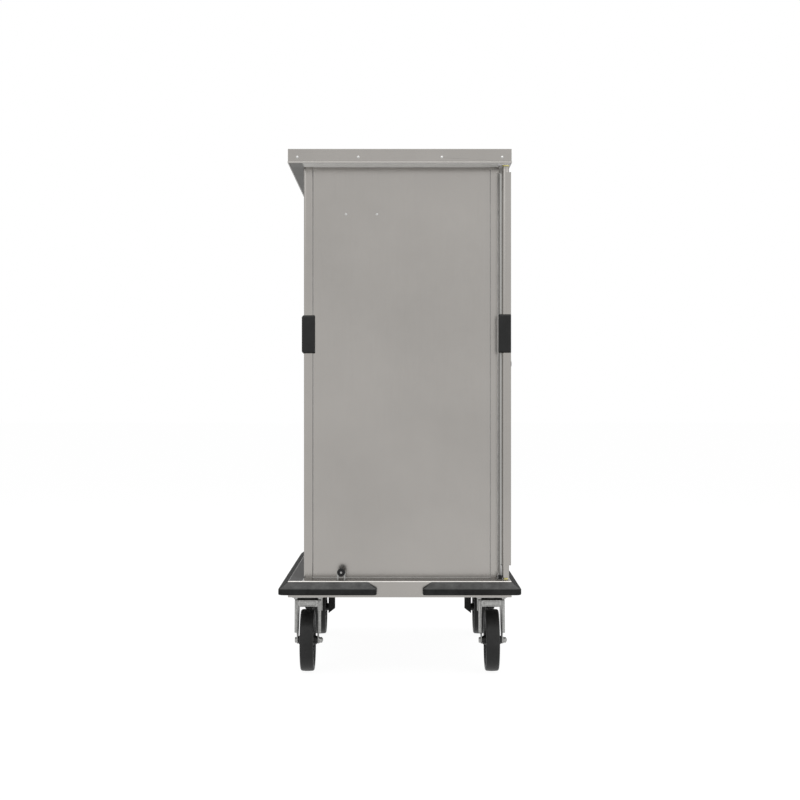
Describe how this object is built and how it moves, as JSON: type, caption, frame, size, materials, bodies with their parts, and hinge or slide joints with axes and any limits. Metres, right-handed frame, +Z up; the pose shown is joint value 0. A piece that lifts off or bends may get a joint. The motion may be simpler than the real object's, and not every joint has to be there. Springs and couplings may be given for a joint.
{
  "type": "enclosed meal tray cart",
  "caption": "Upright steel tray cart on swivel casters: two hinged doors on one long side, tray runners inside, riveted flat roof and a black bumper round the base.",
  "frame": {"origin": "on the floor, under the middle of the bumper's outline", "axes": "+X out of the doors, +Y to the end with the braked casters, +Z up"},
  "size_m": [0.772, 1.26, 1.677],
  "materials": {
    "satin_steel": "fine brushed grain, satin",
    "inner_steel": "mill finish, semi-matt",
    "galvanised_steel": "grey coated, matt",
    "zinc_steel": "zinc plated, satin",
    "rivet_metal": "plain rivet heads",
    "hinge_brass": "turned, slightly dull",
    "bumper_plastic": "moulded, fine grain",
    "pad_plastic": "moulded, fine grain",
    "seal_rubber": "soft extruded",
    "catch_rubber": "moulded cover",
    "hub_plastic": "moulded nylon",
    "tyre_rubber": "solid rubber, slightly worn"
  },
  "bodies": {
    "cart_body": {"base_deck": "satin_steel", "chassis_frame": "galvanised_steel", "bumper_back": "bumper_plastic", "bumper_front": "bumper_plastic", "rear_posts": "satin_steel", "end_wall_near": "satin_steel", "end_wall_far": "satin_steel", "back_wall": "satin_steel", "inner_liner": "inner_steel", "floor_pan": "inner_steel", "ceiling_pan": "inner_steel", "door_frame": "satin_steel", "middle_stile": "satin_steel", "bay_divider": "inner_steel", "roof_tray": "satin_steel", "roof_lid": "satin_steel", "rivets": "rivet_metal", "rack_uprights": "inner_steel", "runners_near": "inner_steel", "runners_far": "inner_steel", "hinge_pins": "hinge_brass", "catch_brackets": "zinc_steel", "catch_magnets": "catch_rubber", "rear_pads": "pad_plastic", "caster_plates": "zinc_steel", "caster_bolts": "zinc_steel"},
    "door_near": {"door_skin_near": "satin_steel", "door_pan_near": "inner_steel", "hinge_tube_near": "satin_steel", "door_seal_near": "seal_rubber", "door_pad_near": "pad_plastic", "latch_rose_near": "pad_plastic"},
    "latch_near": {"latch_lever_near": "pad_plastic", "latch_tongue_near": "zinc_steel"},
    "door_far": {"door_skin_far": "satin_steel", "door_pan_far": "inner_steel", "hinge_tube_far": "satin_steel", "door_seal_far": "seal_rubber", "door_pad_far": "pad_plastic", "latch_rose_far": "pad_plastic"},
    "latch_far": {"latch_lever_far": "pad_plastic", "latch_tongue_far": "zinc_steel"},
    "swivel_near_back": {"fork_near_back": "zinc_steel", "axle_near_back": "zinc_steel"},
    "wheel_near_back": {"hub_near_back": "hub_plastic", "tyre_near_back": "tyre_rubber"},
    "swivel_near_front": {"fork_near_front": "zinc_steel", "axle_near_front": "zinc_steel"},
    "wheel_near_front": {"hub_near_front": "hub_plastic", "tyre_near_front": "tyre_rubber"},
    "swivel_far_back": {"fork_far_back": "zinc_steel", "axle_far_back": "zinc_steel"},
    "wheel_far_back": {"hub_far_back": "hub_plastic", "tyre_far_back": "tyre_rubber"},
    "brake_far_back": {"brake_far_back": "pad_plastic"},
    "swivel_far_front": {"fork_far_front": "zinc_steel", "axle_far_front": "zinc_steel"},
    "wheel_far_front": {"hub_far_front": "hub_plastic", "tyre_far_front": "tyre_rubber"},
    "brake_far_front": {"brake_far_front": "pad_plastic"}
  },
  "joints": [
    {"name": "door_near_hinge", "type": "hinge", "parent": "cart_body", "child": "door_near", "pos_m": [0.3392, -0.562, 0.9], "axis": [0, 0, -1], "range_deg": [0, 270]},
    {"name": "latch_near_turn", "type": "hinge", "parent": "door_near", "child": "latch_near", "pos_m": [0.356, -0.062, 1.002], "axis": [1, 0, 0], "range_deg": [0, 90]},
    {"name": "door_far_hinge", "type": "hinge", "parent": "cart_body", "child": "door_far", "pos_m": [0.3392, 0.562, 0.9], "axis": [0, 0, 1], "range_deg": [0, 270]},
    {"name": "latch_far_turn", "type": "hinge", "parent": "door_far", "child": "latch_far", "pos_m": [0.356, 0.062, 1.002], "axis": [-1, 0, 0], "range_deg": [0, 90]},
    {"name": "swivel_near_back_turn", "type": "hinge", "parent": "cart_body", "child": "swivel_near_back", "pos_m": [-0.298, -0.44, 0.218], "axis": [0, 0, 1], "continuous": true},
    {"name": "wheel_near_back_roll", "type": "hinge", "parent": "swivel_near_back", "child": "wheel_near_back", "pos_m": [-0.298, -0.495, 0.1], "axis": [1, 0, 0], "continuous": true},
    {"name": "swivel_near_front_turn", "type": "hinge", "parent": "cart_body", "child": "swivel_near_front", "pos_m": [0.298, -0.44, 0.218], "axis": [0, 0, 1], "continuous": true},
    {"name": "wheel_near_front_roll", "type": "hinge", "parent": "swivel_near_front", "child": "wheel_near_front", "pos_m": [0.298, -0.495, 0.1], "axis": [1, 0, 0], "continuous": true},
    {"name": "swivel_far_back_turn", "type": "hinge", "parent": "cart_body", "child": "swivel_far_back", "pos_m": [-0.298, 0.44, 0.218], "axis": [0, 0, 1], "continuous": true},
    {"name": "wheel_far_back_roll", "type": "hinge", "parent": "swivel_far_back", "child": "wheel_far_back", "pos_m": [-0.298, 0.385, 0.1], "axis": [1, 0, 0], "continuous": true},
    {"name": "brake_far_back_press", "type": "hinge", "parent": "swivel_far_back", "child": "brake_far_back", "pos_m": [-0.298, 0.412, 0.162], "axis": [1, 0, 0], "range_deg": [0, 6]},
    {"name": "swivel_far_front_turn", "type": "hinge", "parent": "cart_body", "child": "swivel_far_front", "pos_m": [0.298, 0.44, 0.218], "axis": [0, 0, 1], "continuous": true},
    {"name": "wheel_far_front_roll", "type": "hinge", "parent": "swivel_far_front", "child": "wheel_far_front", "pos_m": [0.298, 0.385, 0.1], "axis": [1, 0, 0], "continuous": true},
    {"name": "brake_far_front_press", "type": "hinge", "parent": "swivel_far_front", "child": "brake_far_front", "pos_m": [0.298, 0.412, 0.162], "axis": [1, 0, 0], "range_deg": [0, 6]}
  ]
}
